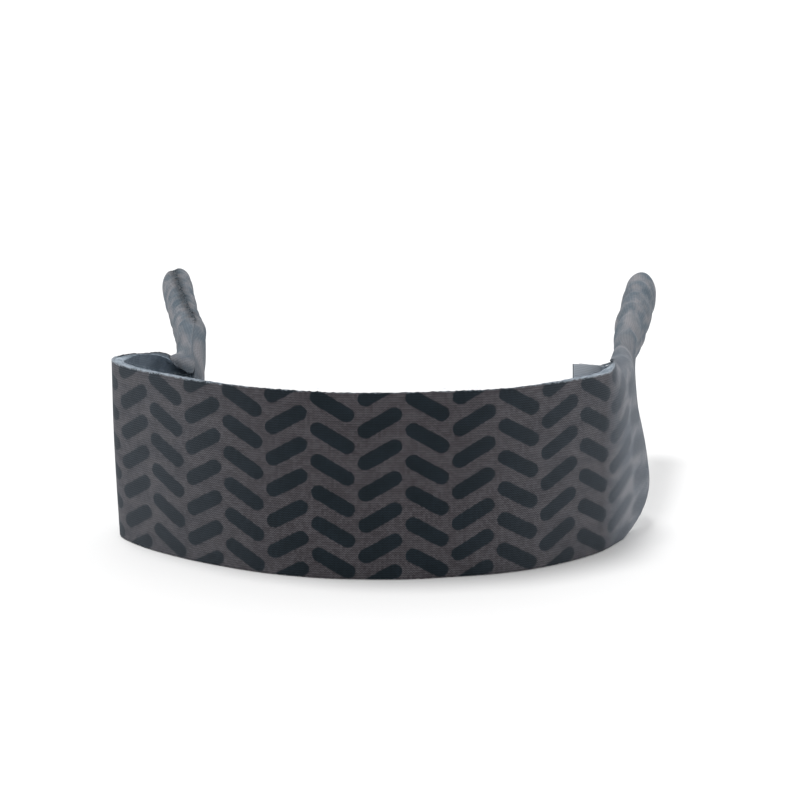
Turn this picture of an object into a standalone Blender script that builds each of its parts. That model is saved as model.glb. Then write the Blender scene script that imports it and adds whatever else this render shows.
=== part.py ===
"""Eyeglass retainer strap: a printed neoprene band with a sewn sleeve at each end.

The strap is one laminate (printed jersey, foam core, lining jersey). It is cut here at the
four places where it flexes most, so that each length can turn on a hinge.
Lengths are in millimetres in this file and are scaled to metres when meshes are made.
+Z is up, the band's convex printed side faces -Y and the sleeves run back along +Y.
"""

import math

import bpy
import numpy as np
from mathutils import Vector

MM = 0.001

# ---------------------------------------------------------------- driving dimensions
BAND_HEIGHT = 44.0          # cut width of the band, standing on its lower edge
BAND_THICKNESS = 2.9        # jersey + foam + jersey over the band
SLEEVE_THICKNESS = 1.5      # the same laminate, stretched round the sleeve
JERSEY_SHARE = 0.19         # share of the thickness that each jersey takes
PLY_GAP = 0.035             # share of the thickness left clear between two plies

SIDE_FLEX_GAP = 1.1         # clear slot at the two side flex lines
SLEEVE_FLEX_GAP = 1.8       # clear slot at the two sleeve flex lines

SLEEVE_HALF_HEIGHT = 5.3    # sleeve section, middle of the wall
SLEEVE_HALF_WIDTH = 2.95
MOUTH_HALF_HEIGHT = 5.8
MOUTH_HALF_WIDTH = 3.5
SEAM_HALF_GAP = 8.0         # degrees left open on each side of the sewn seam

THREAD_RADIUS = 0.22
THREAD_LIFT = 0.38          # clear of the faceted sleeve below it
STITCH_PITCH = 2.2
STITCH_HALF_WIDTH = 1.1

COLUMNS = 9                 # control points across the laminate

# Plan of the band between the two side folds: (x, y) of the middle of the wall.
BAND_PLAN = [
    (-64.4, 26.6),
    (-58.9, 21.6),
    (-48.8, 14.6),
    (-38.9, 9.2),
    (-29.5, 5.6),
    (-20.3, 3.1),
    (-11.3, 1.9),
    (-2.0, 1.8),
    (7.0, 2.6),
    (15.8, 4.0),
    (24.9, 6.2),
    (34.4, 10.6),
    (41.6, 15.0),
    (47.4, 20.2),
]

# Left end, from the fold to the neck. Each row runs from the lower edge to the upper edge.
LEFT_END = [
    [(-67.6, 31.8, 0.0), (-67.8, 31.8, 14.0), (-67.8, 31.8, 30.0), (-67.6, 32.0, 44.0)],
    [(-66.4, 36.8, 1.0), (-66.8, 36.8, 15.0), (-66.8, 36.6, 30.0), (-66.4, 36.4, 43.8)],
    [(-61.8, 38.4, 9.0), (-63.0, 39.2, 15.0), (-63.4, 39.4, 28.0), (-63.0, 39.0, 43.8)],
    [(-56.4, 37.6, 21.0), (-58.2, 39.8, 22.4), (-60.2, 41.2, 28.4), (-60.4, 41.4, 35.6), (-59.8, 41.0, 40.6),
     (-58.6, 39.8, 44.0)],
    [(-50.9, 38.6, 41.2), (-48.8, 39.8, 37.0), (-50.8, 41.4, 33.2), (-54.2, 42.6, 33.4), (-56.0, 42.8, 38.0),
     (-54.8, 42.0, 42.6), (-52.0, 38.9, 42.6)],
    [(-50.8, 44.0, 44.6), (-49.1, 44.6, 41.4), (-49.3, 45.4, 37.8), (-51.8, 46.2, 36.2), (-54.4, 46.6, 38.6),
     (-54.2, 46.0, 43.2), (-51.6, 44.4, 45.1)],
]

# Left sleeve: middle of the section, then how far the seam leans toward +X from straight up.
LEFT_SLEEVE = [
    ((-52.1, 50.0, 42.6), 12.0, 0.0),
    ((-54.5, 64.0, 44.0), 12.0, 0.0),
    ((-58.5, 84.0, 45.2), 10.0, 0.0),
    ((-61.0, 97.0, 46.0), 4.0, 0.5),
    ((-62.8, 107.0, 46.4), 0.0, 1.0),
]

# Right end, from the band to the neck. The upper edge rolls inward first, the lower follows.
RIGHT_END = [
    [(52.6, 27.4, 0.0), (53.0, 27.0, 14.0), (52.4, 26.6, 30.0), (51.4, 26.6, 39.0), (49.6, 27.0, 43.8)],
    [(60.6, 39.0, 8.5), (60.2, 38.0, 17.0), (57.8, 36.4, 30.0), (55.8, 35.4, 39.4), (53.0, 34.8, 43.8),
     (50.4, 34.8, 42.4)],
    [(60.0, 46.2, 20.0), (59.4, 45.6, 26.0), (57.6, 44.6, 34.0), (56.4, 44.0, 40.0), (54.2, 43.6, 44.0),
     (51.6, 43.4, 43.0), (50.8, 43.4, 40.4)],
    [(55.8, 51.4, 33.6), (58.0, 51.0, 37.0), (58.4, 50.8, 41.6), (56.4, 50.6, 45.4), (54.0, 50.4, 44.8),
     (53.0, 50.4, 41.0), (53.2, 50.6, 38.4)],
]

# Right sleeve: middle of the section, then the lean of the seam, which sits inward and low.
RIGHT_SLEEVE = [
    ((57.2, 57.0, 41.6), -122.0, 0.0),
    ((59.3, 65.0, 43.0), -126.0, 0.0),
    ((62.0, 77.0, 43.8), -140.0, 0.0),
    ((64.7, 90.0, 44.9), -160.0, 0.5),
    ((67.0, 101.0, 45.8), -172.0, 1.0),
]

# Free lip of the lower edge at the inner side of the right neck: lower edge, then upper edge.
RIGHT_LIP = [
    [(48.8, 43.0, 32.0), (48.6, 42.8, 35.8), (48.4, 42.6, 39.4)],
    [(48.0, 37.8, 31.0), (47.9, 37.8, 36.2), (47.8, 37.8, 41.0)],
    [(46.2, 32.4, 30.2), (46.2, 32.6, 36.6), (46.0, 32.8, 42.4)],
    [(43.8, 29.0, 29.6), (43.8, 29.2, 36.6), (43.6, 29.4, 43.4)],
    [(41.4, 26.6, 29.0), (41.2, 26.8, 36.4), (41.0, 27.0, 44.0)],
]
LIP_THICKNESS = 2.2

MATERIALS = {
    "printed_face": ("printed_jersey", (0.085, 0.082, 0.092), 0.85),
    "foam_core": ("foam_core", (0.30, 0.35, 0.40), 0.90),
    "lining": ("lining_jersey", (0.14, 0.17, 0.20), 0.90),
    "thread": ("seam_thread", (0.045, 0.052, 0.060), 0.70),
}


def spline(knots, values, at):
    """Natural cubic spline through the values at the knots, read at the places in at."""
    knots = np.asarray(knots, dtype=float)
    values = np.asarray(values, dtype=float)
    at = np.asarray(at, dtype=float)
    count = len(knots)
    steps = np.diff(knots)
    system = np.eye(count)
    right = np.zeros_like(values)
    for i in range(1, count - 1):
        system[i, i - 1] = steps[i - 1]
        system[i, i] = 2.0 * (steps[i - 1] + steps[i])
        system[i, i + 1] = steps[i]
        rise = (values[i + 1] - values[i]) / steps[i]
        fall = (values[i] - values[i - 1]) / steps[i - 1]
        right[i] = 6.0 * (rise - fall)
    bend = np.linalg.solve(system, right)
    k = np.clip(np.searchsorted(knots, at, side="right") - 1, 0, count - 2)
    step = steps[k][:, None]
    a = (knots[k + 1] - at)[:, None] / step
    b = (at - knots[k])[:, None] / step
    curve = (a**3 - a) * bend[k] + (b**3 - b) * bend[k + 1]
    return a * values[k] + b * values[k + 1] + curve * step**2 / 6.0


def arc_length(points):
    """Distance along a row of points, starting at 0."""
    steps = np.linalg.norm(np.diff(points, axis=0), axis=1)
    return np.concatenate([[0.0], np.cumsum(steps)])


def respaced(points, count):
    """The row of points read again at count places evenly spaced along it."""
    points = np.asarray(points, dtype=float)
    along = arc_length(points)
    fine = spline(along, points, np.linspace(0.0, along[-1], 160))
    along = arc_length(fine)
    places = np.linspace(0.0, along[-1], count)
    return np.stack([np.interp(places, along, fine[:, axis]) for axis in range(3)], axis=1)


def wall_station(x, y):
    """A straight upright section of the band."""
    heights = np.linspace(0.0, BAND_HEIGHT, COLUMNS)
    return np.array([(x, y, z) for z in heights])


def sleeve_station(centre, heading, lean, widening, side):
    """A closed oval section of a sleeve, from one side of the seam round to the other."""
    up = Vector((0.0, 0.0, 1.0))
    across = heading.cross(up).normalized()
    upward = across.cross(heading).normalized()
    tall = SLEEVE_HALF_HEIGHT + widening * (MOUTH_HALF_HEIGHT - SLEEVE_HALF_HEIGHT)
    wide = SLEEVE_HALF_WIDTH + widening * (MOUTH_HALF_WIDTH - SLEEVE_HALF_WIDTH)
    start = 90.0 - lean + side * SEAM_HALF_GAP
    end = 90.0 - lean + side * (360.0 - SEAM_HALF_GAP)
    points = []
    for degrees in np.linspace(start, end, 73):
        angle = math.radians(degrees)
        offset = across * (wide * math.cos(angle)) + upward * (tall * math.sin(angle))
        points.append(Vector(centre) + offset)
    return respaced(points, COLUMNS)


def sleeve_stations(rows, side):
    """The sections of one sleeve, from its neck to its mouth."""
    centres = [Vector(row[0]) for row in rows]
    stations = []
    for i, (centre, lean, widening) in enumerate(rows):
        before = centres[max(i - 1, 0)]
        after = centres[min(i + 1, len(rows) - 1)]
        heading = (after - before).normalized()
        stations.append(sleeve_station(centre, heading, lean, widening, side))
    return stations


def strap_stations():
    """Every section from the left mouth, round the band, to the right mouth."""
    left = [respaced(row, COLUMNS) for row in LEFT_END] + sleeve_stations(LEFT_SLEEVE, -1)
    right = [respaced(row, COLUMNS) for row in RIGHT_END] + sleeve_stations(RIGHT_SLEEVE, 1)
    band = [wall_station(x, y) for x, y in BAND_PLAN]
    return np.array(left[::-1] + band + right)


class Laminate:
    """A curved sheet through sections, with a thickness that varies along it."""

    def __init__(self, stations, thickness):
        self.stations = np.asarray(stations, dtype=float)
        self.count = self.stations.shape[1]
        self.knots = arc_length(self.stations.mean(axis=1))
        self.thickness = np.asarray(thickness, dtype=float)

    def middle(self, along, across):
        """Points on the middle of the wall, on a grid of places along and across."""
        flat = self.stations.reshape(len(self.knots), -1)
        rows = spline(self.knots, flat, along).reshape(len(along), self.count, 3)
        columns = np.linspace(0.0, 1.0, self.count)
        return np.stack([spline(columns, row, across) for row in rows])

    def normal(self, along, across):
        """Unit normals of the middle, pointing to the printed side."""
        step = 0.05
        share = 0.002
        ahead = self.middle(along + step, across) - self.middle(along - step, across)
        upward = self.middle(along, across + share) - self.middle(along, across - share)
        normals = np.cross(ahead, upward)
        return normals / np.linalg.norm(normals, axis=2, keepdims=True)

    def depth(self, along, across, share):
        """Points at a share of the thickness below the printed surface, kept off the ground."""
        thickness = np.interp(along, self.knots, self.thickness)[:, None, None]
        shift = thickness * (0.5 - share)
        points = self.middle(along, across) + self.normal(along, across) * shift
        points[:, :, 2] = np.maximum(points[:, :, 2], 0.0)
        return points


def ply_shares():
    """Where each ply starts and ends through the thickness, from the printed side."""
    jersey = JERSEY_SHARE
    gap = PLY_GAP
    return {
        "printed_face": (0.0, jersey),
        "foam_core": (jersey + gap, 1.0 - jersey - gap),
        "lining": (1.0 - jersey, 1.0),
    }


def ply_mesh(name, outer, inner):
    """A closed mesh between two matching grids of points, in metres."""
    rows, columns = outer.shape[:2]
    points = np.concatenate([outer.reshape(-1, 3), inner.reshape(-1, 3)]) * MM
    back = rows * columns
    faces = []
    for i in range(rows - 1):
        for j in range(columns - 1):
            a = i * columns + j
            b = a + columns
            faces.append((a, b, b + 1))
            faces.append((a, b + 1, a + 1))
            faces.append((back + a, back + b + 1, back + b))
            faces.append((back + a, back + a + 1, back + b + 1))
    rim = [(i, 0) for i in range(rows)]
    rim += [(rows - 1, j) for j in range(1, columns)]
    rim += [(i, columns - 1) for i in range(rows - 2, -1, -1)]
    rim += [(0, j) for j in range(columns - 2, 0, -1)]
    loop = [i * columns + j for i, j in rim]
    for a, b in zip(loop, loop[1:] + loop[:1]):
        faces.append((b, a, back + a))
        faces.append((b, back + a, back + b))
    mesh = bpy.data.meshes.new(name)
    mesh.from_pydata([tuple(p) for p in points], [], faces)
    mesh.update()
    mesh.shade_smooth()
    mesh.set_sharp_from_angle(angle=math.radians(50))
    return mesh


def material(key):
    """The material of one kind of ply, made once."""
    name, colour, roughness = MATERIALS[key]
    found = bpy.data.materials.get(name)
    if found is not None:
        return found
    made = bpy.data.materials.new(name)
    made.use_nodes = True
    shader = made.node_tree.nodes["Principled BSDF"]
    shader.inputs["Base Color"].default_value = (*colour, 1.0)
    shader.inputs["Roughness"].default_value = roughness
    shader.inputs["Metallic"].default_value = 0.0
    return made


def add_object(name, data, key, parent, collection):
    """Link a mesh or curve that is already placed about its parent's origin."""
    made = bpy.data.objects.new(name, data)
    made.data.materials.append(material(key))
    made.parent = parent
    collection.objects.link(made)
    return made


def add_pivot(name, place, parent, collection):
    """An empty on a joint's axis, at a place given in millimetres."""
    pivot = bpy.data.objects.new(name, None)
    pivot.empty_display_size = 0.01
    pivot.location = Vector(place) * MM
    if parent is not None:
        pivot.parent = parent
        pivot.location -= Vector(parent["place"]) * MM
    pivot["place"] = tuple(place)
    collection.objects.link(pivot)
    return pivot


def add_plies(part_name, sheet, along, across, parent, collection):
    """The three plies of one length of laminate, each a solid of its own."""
    origin = np.array(parent["place"]) if parent is not None else np.zeros(3)
    for ply, (start, end) in ply_shares().items():
        outer = sheet.depth(along, across, start) - origin
        inner = sheet.depth(along, across, end) - origin
        name = part_name + "_" + ply
        add_object(name, ply_mesh(name, outer, inner), ply, parent, collection)


def add_seam(name, sheet, start, end, parent, collection):
    """The zigzag thread that closes a sleeve, lying on its outer surface."""
    count = int((end - start) / (STITCH_PITCH / 4.0))
    places = np.linspace(start, end, count)
    sides = sheet.depth(places, np.array([0.0, 1.0]), 0.0)
    inset = STITCH_HALF_WIDTH / 24.0
    near = sheet.depth(places, np.array([inset, 1.0 - inset]), 0.0)
    lifts = sheet.normal(places, np.array([inset, 1.0 - inset]))
    height = THREAD_RADIUS + THREAD_LIFT
    origin = np.array(parent["place"])
    curve = bpy.data.curves.new(name, "CURVE")
    curve.dimensions = "3D"
    curve.bevel_depth = THREAD_RADIUS * MM
    curve.bevel_resolution = 0
    curve.use_fill_caps = True
    line = curve.splines.new("POLY")
    line.points.add(count - 1)
    for i in range(count):
        if i % 2 == 1:
            side = (i // 2) % 2
            point = near[i, side] + lifts[i, side] * height
        else:
            lift = lifts[i, 0] + lifts[i, 1]
            lift = lift / np.linalg.norm(lift)
            point = sides[i].mean(axis=0) + lift * (height + 0.1)
        point = (point - origin) * MM
        line.points[i].co = (*point, 1.0)
    add_object(name, curve, "thread", parent, collection)


def clear_scene():
    """Remove every object that the scene starts with."""
    for leftover in list(bpy.data.objects):
        bpy.data.objects.remove(leftover, do_unlink=True)


def centred(stations, extra):
    """Shift the plan so that the origin is under the middle of the strap's box."""
    rough = Laminate(stations, wall_thickness(stations))
    along = np.linspace(rough.knots[0], rough.knots[-1], 400)
    across = np.linspace(0.0, 1.0, 41)
    outside = np.concatenate([rough.depth(along, across, s).reshape(-1, 3) for s in (0.0, 1.0)])
    middle = (outside.min(axis=0) + outside.max(axis=0)) / 2.0
    shift = np.array([round(middle[0], 1), round(middle[1], 1), 0.0])
    return stations - shift, extra - shift


def wall_thickness(stations):
    """Full thickness over the band, thinning through each neck to the sleeve's."""
    walls = []
    last = len(stations) - 1
    for i in range(last + 1):
        from_mouth = min(i, last - i)
        ends = len(LEFT_SLEEVE) if i < last / 2 else len(RIGHT_SLEEVE)
        rows = len(LEFT_END) if i < last / 2 else len(RIGHT_END)
        share = min(max((from_mouth - ends + 1) / rows, 0.0), 1.0)
        walls.append(SLEEVE_THICKNESS + share**1.5 * (BAND_THICKNESS - SLEEVE_THICKNESS))
    return walls


def build():
    """The whole strap, as five rigid lengths and four hinges."""
    clear_scene()
    collection = bpy.data.collections.new("eyeglass_retainer_strap")
    bpy.context.scene.collection.children.link(collection)

    stations, lip_rows = centred(strap_stations(), np.array(RIGHT_LIP))
    strap = Laminate(stations, wall_thickness(stations))
    knots = strap.knots
    sleeve = len(LEFT_SLEEVE)
    left_end = sleeve + len(LEFT_END)
    right_end = left_end + len(BAND_PLAN)

    left_sleeve_cut = knots[sleeve - 1] - 4.0
    left_side_cut = knots[left_end + 1]
    right_side_cut = knots[right_end - 1]
    right_sleeve_cut = knots[-len(RIGHT_SLEEVE)] + 4.0

    def hinge(cut):
        section = strap.middle(np.array([cut]), np.linspace(0.0, 1.0, 33))[0]
        low = section.min(axis=0)
        high = section.max(axis=0)
        return np.round((low + high) / 2.0, 2)

    left_side = add_pivot("left_side_hinge", hinge(left_side_cut), None, collection)
    right_side = add_pivot("right_side_hinge", hinge(right_side_cut), None, collection)
    left_neck = add_pivot("left_sleeve_hinge", hinge(left_sleeve_cut), left_side, collection)
    right_neck = add_pivot("right_sleeve_hinge", hinge(right_sleeve_cut), right_side, collection)

    side = SIDE_FLEX_GAP / 2.0
    neck = SLEEVE_FLEX_GAP / 2.0
    straight = np.linspace(0.0, 1.0, 3)
    curled = np.linspace(0.0, 1.0, 15)
    closed = np.linspace(0.0, 1.0, 17)
    lengths = [
        ("left_sleeve", knots[0], left_sleeve_cut - neck, 7, closed, left_neck),
        ("left_shoulder", left_sleeve_cut + neck, left_side_cut - side, 19, curled, left_side),
        ("band", left_side_cut + side, right_side_cut - side, 25, straight, None),
        ("right_shoulder", right_side_cut + side, right_sleeve_cut - neck, 19, curled, right_side),
        ("right_sleeve", right_sleeve_cut + neck, knots[-1], 7, closed, right_neck),
    ]
    for name, start, end, count, across, parent in lengths:
        add_plies(name, strap, np.linspace(start, end, count), across, parent, collection)

    add_seam("left_sleeve_seam_thread", strap, knots[0] + 1.5, left_sleeve_cut - neck - 1.0,
             left_neck, collection)
    add_seam("right_sleeve_seam_thread", strap, right_sleeve_cut + neck + 1.0, knots[-1] - 1.5,
             right_neck, collection)

    lip = Laminate([respaced(row, COLUMNS) for row in lip_rows], [LIP_THICKNESS] * len(lip_rows))
    add_plies("right_lip", lip, np.linspace(lip.knots[0], lip.knots[-1], 7), straight,
              right_side, collection)


build()
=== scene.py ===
"""Looks for the eyeglass retainer strap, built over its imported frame.

The strap's three plies are made again on the same surface as the frame, with many more points,
creases, sewing and cut edges. Lengths are in millimetres here and metres in the meshes.
"""

import math

import bpy
import numpy as np
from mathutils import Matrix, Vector


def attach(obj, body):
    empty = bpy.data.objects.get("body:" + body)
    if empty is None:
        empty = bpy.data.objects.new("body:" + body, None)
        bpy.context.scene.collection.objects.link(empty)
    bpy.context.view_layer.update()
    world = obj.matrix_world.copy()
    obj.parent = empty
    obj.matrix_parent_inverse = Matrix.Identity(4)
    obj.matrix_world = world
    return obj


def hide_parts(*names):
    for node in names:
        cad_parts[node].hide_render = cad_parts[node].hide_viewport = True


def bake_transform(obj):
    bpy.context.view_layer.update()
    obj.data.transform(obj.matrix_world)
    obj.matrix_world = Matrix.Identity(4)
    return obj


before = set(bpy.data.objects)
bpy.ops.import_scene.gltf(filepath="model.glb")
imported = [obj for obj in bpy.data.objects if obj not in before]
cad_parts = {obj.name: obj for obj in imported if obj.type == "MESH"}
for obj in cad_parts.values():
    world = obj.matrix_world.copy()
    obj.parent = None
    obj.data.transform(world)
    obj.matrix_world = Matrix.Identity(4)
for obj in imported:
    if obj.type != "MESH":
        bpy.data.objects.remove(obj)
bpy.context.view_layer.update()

MM = 0.001
TURN = 2.0 * math.pi
RNG = np.random.default_rng(7)

# ---------------------------------------------------------------- the strap's surface
BAND_HEIGHT = 44.0
BAND_THICKNESS = 2.9
SLEEVE_THICKNESS = 1.5
JERSEY_SHARE = 0.19
PLY_GAP = 0.02
SLEEVE_HALF_HEIGHT = 5.3
SLEEVE_HALF_WIDTH = 2.95
MOUTH_HALF_HEIGHT = 5.8
MOUTH_HALF_WIDTH = 3.5
SEAM_HALF_GAP = 3.0
SEAM_GAP = 0.03
SEAM_DRAWN_WIDTH = 3.0
SEAM_GROOVE_WIDTH = 1.5
COLUMNS = 9

BAND_PLAN = [
    (-64.4, 26.6),
    (-58.9, 21.6),
    (-48.8, 14.6),
    (-38.9, 9.2),
    (-29.5, 5.6),
    (-20.3, 3.1),
    (-11.3, 1.9),
    (-2.0, 1.8),
    (7.0, 2.6),
    (15.8, 4.0),
    (24.9, 6.2),
    (34.4, 10.6),
    (41.6, 15.0),
    (47.4, 20.2),
]

# Each row of an end runs from the lower cut edge to the upper one.
LEFT_END = [
    [(-67.6, 31.8, 0.0), (-67.8, 31.8, 14.0), (-67.8, 31.8, 30.0), (-67.6, 32.0, 44.0)],
    [(-66.4, 36.8, 1.0), (-66.8, 36.8, 15.0), (-66.8, 36.6, 30.0), (-66.4, 36.4, 43.8)],
    [(-61.8, 38.4, 9.0), (-63.0, 39.2, 15.0), (-63.4, 39.4, 28.0), (-63.0, 39.0, 43.8)],
    [(-56.4, 37.6, 21.0), (-58.2, 39.8, 22.4), (-60.2, 41.2, 28.4), (-60.3, 41.5, 34.6), (-59.6, 41.4, 39.4),
     (-58.2, 40.8, 42.2), (-56.4, 39.6, 43.0)],
    [(-50.5, 38.4, 38.3), (-49.0, 40.2, 35.4), (-51.0, 41.6, 33.0), (-54.2, 42.8, 33.6), (-56.1, 42.8, 38.0),
     (-55.0, 41.6, 42.2), (-53.0, 39.5, 42.2), (-51.2, 38.3, 39.4)],
    [(-50.8, 44.0, 44.6), (-49.1, 44.6, 41.4), (-49.3, 45.4, 37.8), (-51.8, 46.2, 36.2), (-54.4, 46.6, 38.6),
     (-54.2, 46.0, 43.2), (-51.6, 44.4, 45.1)],
]
LEFT_SLEEVE = [
    ((-52.1, 50.0, 42.6), 12.0, 0.0),
    ((-54.5, 64.0, 44.0), 8.0, 0.0),
    ((-58.5, 84.0, 45.2), -4.0, 0.0),
    ((-61.0, 97.0, 46.0), -10.0, 0.5),
    ((-62.8, 107.0, 46.4), -14.0, 1.0),
]
RIGHT_END = [
    [(52.6, 27.4, 0.0), (53.0, 27.0, 14.0), (52.4, 26.6, 30.0), (51.4, 26.6, 39.0), (49.6, 27.0, 43.8)],
    [(60.6, 39.0, 8.5), (59.8, 38.0, 17.0), (56.9, 36.4, 30.0), (55.2, 35.4, 39.4), (53.6, 34.8, 43.6),
     (51.5, 34.8, 42.2)],
    [(60.0, 46.2, 20.0), (58.8, 45.6, 26.0), (57.0, 44.6, 34.0), (56.3, 44.0, 40.0), (55.1, 43.6, 43.9),
     (53.5, 43.4, 43.0), (52.9, 43.4, 40.4)],
    [(55.8, 51.4, 33.6), (58.0, 51.0, 37.0), (58.4, 50.8, 41.6), (56.6, 50.6, 45.2), (55.2, 50.4, 44.2),
     (54.5, 50.4, 41.0), (54.5, 50.6, 38.6)],
]
RIGHT_SLEEVE = [
    ((57.5, 57.0, 41.6), -122.0, 0.0),
    ((59.3, 65.0, 43.0), -126.0, 0.0),
    ((62.0, 77.0, 43.8), -140.0, 0.0),
    ((64.7, 90.0, 44.9), -160.0, 0.5),
    ((67.0, 101.0, 45.8), -172.0, 1.0),
]
RIGHT_LIP = [
    [(53.0, 47.6, 33.6), (53.1, 47.4, 36.6), (53.3, 47.2, 39.6)],
    [(51.3, 46.0, 32.8), (51.3, 45.8, 36.0), (51.4, 45.6, 39.4)],
    [(49.5, 43.4, 32.2), (49.4, 43.2, 35.8), (49.3, 43.0, 39.6)],
    [(48.2, 37.8, 31.0), (48.1, 37.8, 36.2), (48.0, 37.8, 41.0)],
    [(46.2, 32.4, 30.2), (46.2, 32.6, 36.6), (46.0, 32.8, 42.4)],
    [(43.8, 29.0, 29.6), (43.8, 29.2, 36.6), (43.6, 29.4, 43.4)],
    [(41.4, 26.6, 29.0), (41.2, 26.8, 36.4), (41.0, 27.0, 44.0)],
]
LIP_THICKNESS = [1.4, 1.4, 1.5, 1.5, 1.3, 0.8, 0.4]
PLAN_SHIFT = np.array([0.9, 54.0, 0.0])


def spline(knots, values, at):
    """Natural cubic spline through the values at the knots, read at the places in at."""
    knots = np.asarray(knots, dtype=float)
    values = np.asarray(values, dtype=float)
    at = np.asarray(at, dtype=float)
    count = len(knots)
    steps = np.diff(knots)
    system = np.eye(count)
    right = np.zeros_like(values)
    for i in range(1, count - 1):
        system[i, i - 1] = steps[i - 1]
        system[i, i] = 2.0 * (steps[i - 1] + steps[i])
        system[i, i + 1] = steps[i]
        rise = (values[i + 1] - values[i]) / steps[i]
        fall = (values[i] - values[i - 1]) / steps[i - 1]
        right[i] = 6.0 * (rise - fall)
    bend = np.linalg.solve(system, right)
    k = np.clip(np.searchsorted(knots, at, side="right") - 1, 0, count - 2)
    step = steps[k][:, None]
    a = (knots[k + 1] - at)[:, None] / step
    b = (at - knots[k])[:, None] / step
    curve = (a**3 - a) * bend[k] + (b**3 - b) * bend[k + 1]
    return a * values[k] + b * values[k + 1] + curve * step**2 / 6.0


def arc_length(points):
    """Distance along a row of points, starting at 0."""
    steps = np.linalg.norm(np.diff(points, axis=0), axis=1)
    return np.concatenate([[0.0], np.cumsum(steps)])


def respaced(points, count):
    """The row of points read again at count places evenly spaced along it."""
    points = np.asarray(points, dtype=float)
    along = arc_length(points)
    fine = spline(along, points, np.linspace(0.0, along[-1], 160))
    along = arc_length(fine)
    places = np.linspace(0.0, along[-1], count)
    return np.stack([np.interp(places, along, fine[:, axis]) for axis in range(3)], axis=1)


def sleeve_stations(rows, side):
    """Closed oval sections of one sleeve, from its neck to its mouth."""
    centres = [Vector(row[0]) for row in rows]
    stations = []
    for i, (centre, lean, widening) in enumerate(rows):
        before = centres[max(i - 1, 0)]
        after = centres[min(i + 1, len(rows) - 1)]
        heading = (after - before).normalized()
        across = heading.cross(Vector((0.0, 0.0, 1.0))).normalized()
        upward = across.cross(heading).normalized()
        tall = SLEEVE_HALF_HEIGHT + widening * (MOUTH_HALF_HEIGHT - SLEEVE_HALF_HEIGHT)
        wide = SLEEVE_HALF_WIDTH + widening * (MOUTH_HALF_WIDTH - SLEEVE_HALF_WIDTH)
        start = 90.0 - lean + side * SEAM_HALF_GAP
        end = 90.0 - lean + side * (360.0 - SEAM_HALF_GAP)
        points = []
        for degrees in np.linspace(start, end, 73):
            angle = math.radians(degrees)
            offset = across * (wide * math.cos(angle)) + upward * (tall * math.sin(angle))
            points.append(Vector(centre) + offset)
        stations.append(respaced(points, COLUMNS))
    return stations


def strap_stations():
    """Every section from the left mouth, round the band, to the right mouth."""
    heights = np.linspace(0.0, BAND_HEIGHT, COLUMNS)
    left = [respaced(row, COLUMNS) for row in LEFT_END] + sleeve_stations(LEFT_SLEEVE, -1)
    right = [respaced(row, COLUMNS) for row in RIGHT_END] + sleeve_stations(RIGHT_SLEEVE, 1)
    band = [np.array([(x, y, z) for z in heights]) for x, y in BAND_PLAN]
    return np.array(left[::-1] + band + right) - PLAN_SHIFT


def wall_thickness():
    """Full thickness over the band, thinning through each neck to the sleeve's."""
    count = len(LEFT_SLEEVE) + len(LEFT_END) + len(BAND_PLAN) + len(RIGHT_END) + len(RIGHT_SLEEVE)
    walls = []
    for i in range(count):
        from_mouth = min(i, count - 1 - i)
        left = i < (count - 1) / 2
        ends = len(LEFT_SLEEVE) if left else len(RIGHT_SLEEVE)
        rows = len(LEFT_END) if left else len(RIGHT_END)
        share = min(max((from_mouth - ends + 1) / rows, 0.0), 1.0)
        walls.append(SLEEVE_THICKNESS + share**1.5 * (BAND_THICKNESS - SLEEVE_THICKNESS))
    return walls


def smooth(low, high, value):
    """0 below low, 1 above high, and a smooth step between."""
    x = np.clip((value - low) / (high - low), 0.0, 1.0)
    return x * x * (3.0 - 2.0 * x)


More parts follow.
